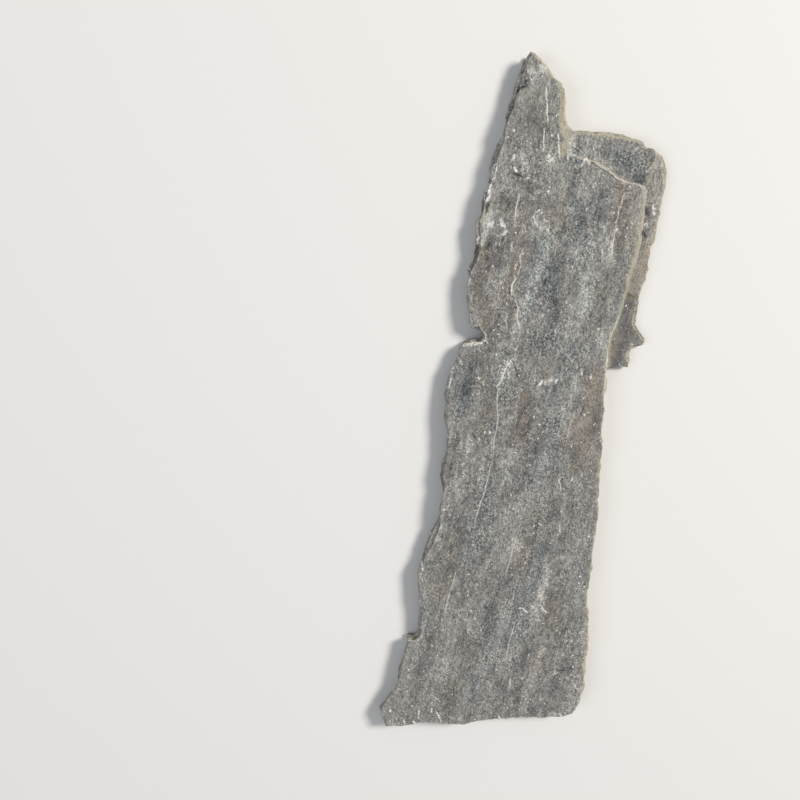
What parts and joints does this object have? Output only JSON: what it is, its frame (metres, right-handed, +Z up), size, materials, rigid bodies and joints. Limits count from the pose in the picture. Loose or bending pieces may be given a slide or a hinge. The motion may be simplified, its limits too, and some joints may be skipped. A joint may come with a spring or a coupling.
{
  "type": "slate slab",
  "caption": "Long rough slab of split grey slate with a pointed end, a stepped terrace beside it and broken, layered edges, lying on its flat bed face.",
  "frame": {"origin": "on the ground under the middle of the slab's bounding box, in the plane of the bed face", "axes": "+Y along the slab towards its pointed end, +Z up, across the bedding from the bed face to the split face, +X to the side with the terrace and the low strip"},
  "size_m": [0.5854, 1.8942, 0.0552],
  "materials": {
    "slate": "split, matt, streaked along the grain, with pale broken edges"
  },
  "bodies": {
    "root": {"slab": "slate"}
  },
  "joints": []
}
